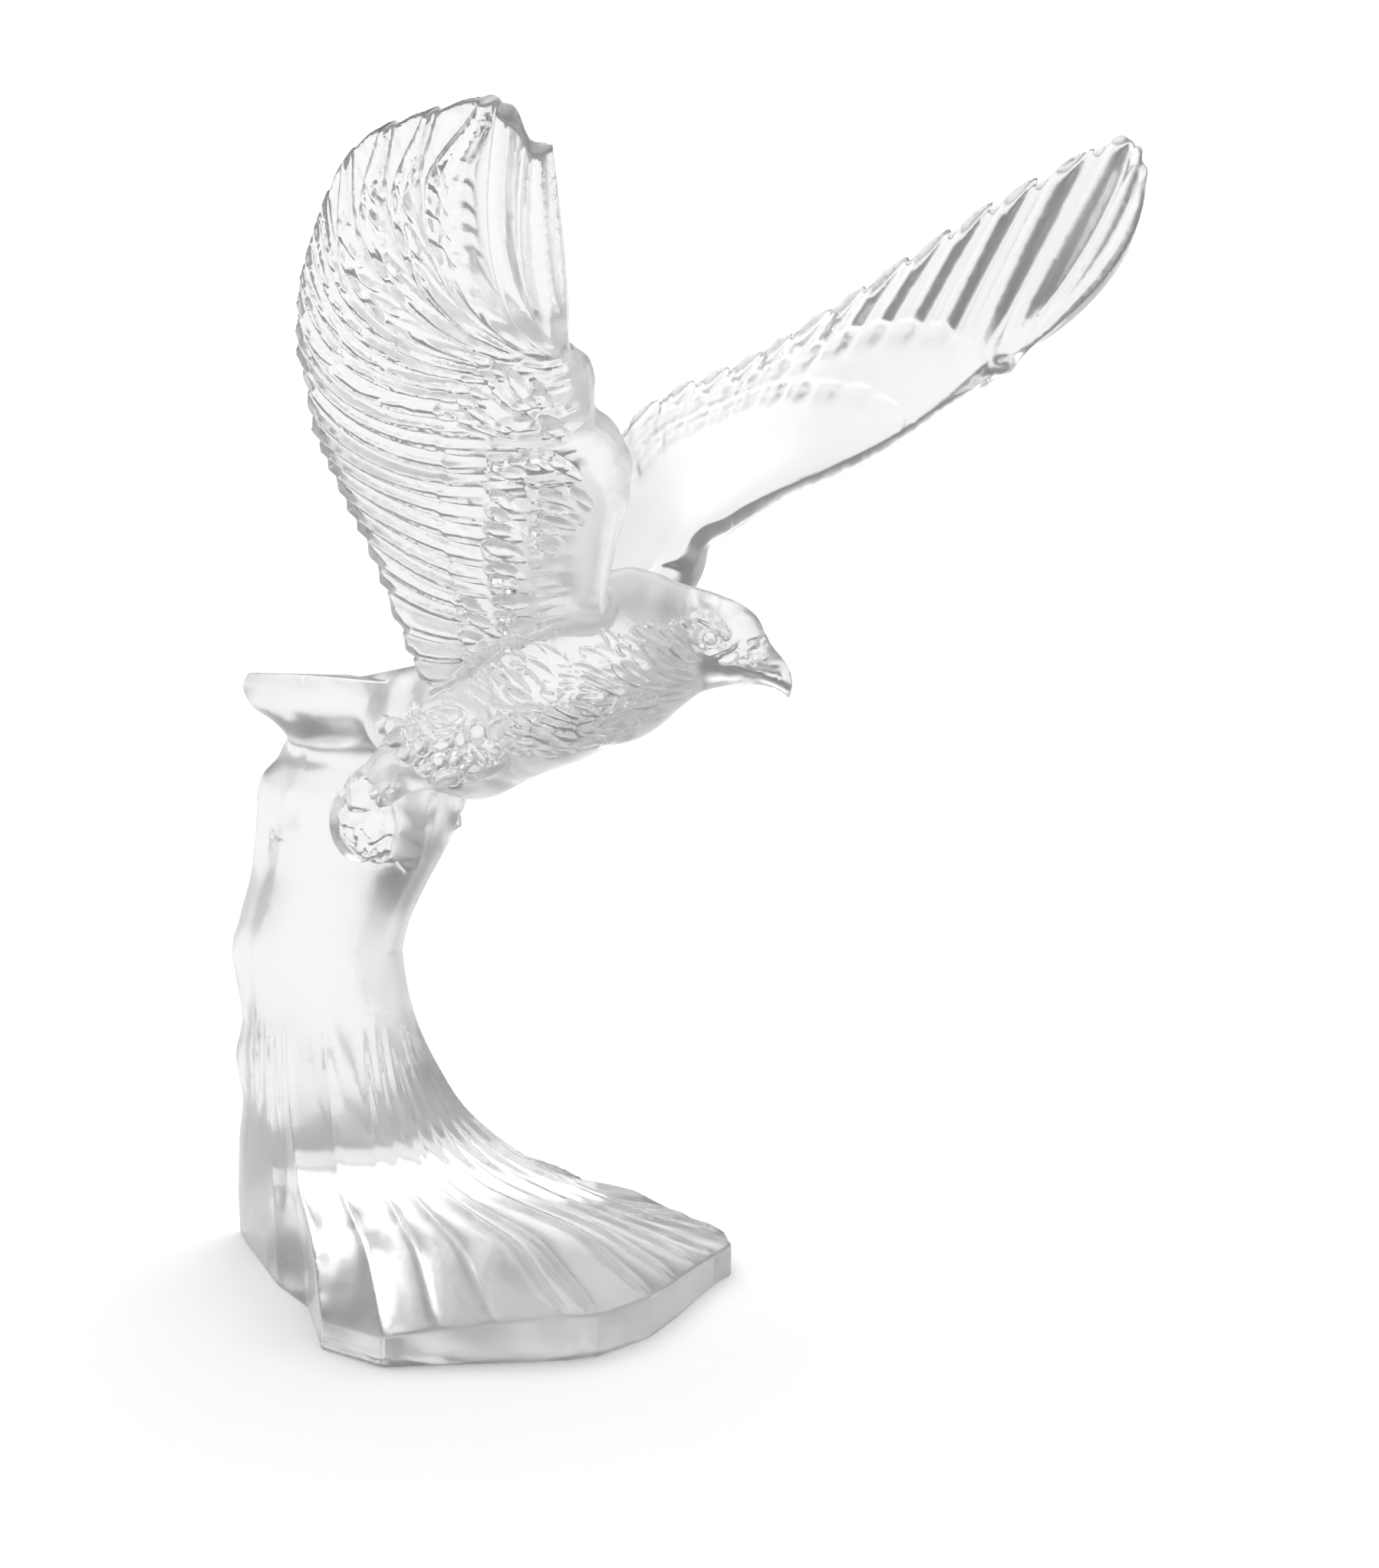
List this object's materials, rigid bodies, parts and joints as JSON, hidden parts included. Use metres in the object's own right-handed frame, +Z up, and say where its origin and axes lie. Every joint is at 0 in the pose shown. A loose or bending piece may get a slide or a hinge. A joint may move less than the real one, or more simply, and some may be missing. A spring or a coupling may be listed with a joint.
{
  "type": "crystal eagle sculpture",
  "caption": "Satin crystal eagle with raised wings, spread tail and clenched feet, cast in one with the fluted, wave-shaped rock that it stands on.",
  "frame": {"origin": "middle of the base's flat underside, on the surface that it stands on", "axes": "+X the way the bird flies, +Y its left, +Z up"},
  "size_m": [0.2677, 0.3156, 0.4026],
  "materials": {
    "satin_crystal": "satin"
  },
  "bodies": {
    "root": {"eagle_sculpture": "satin_crystal"}
  },
  "joints": []
}
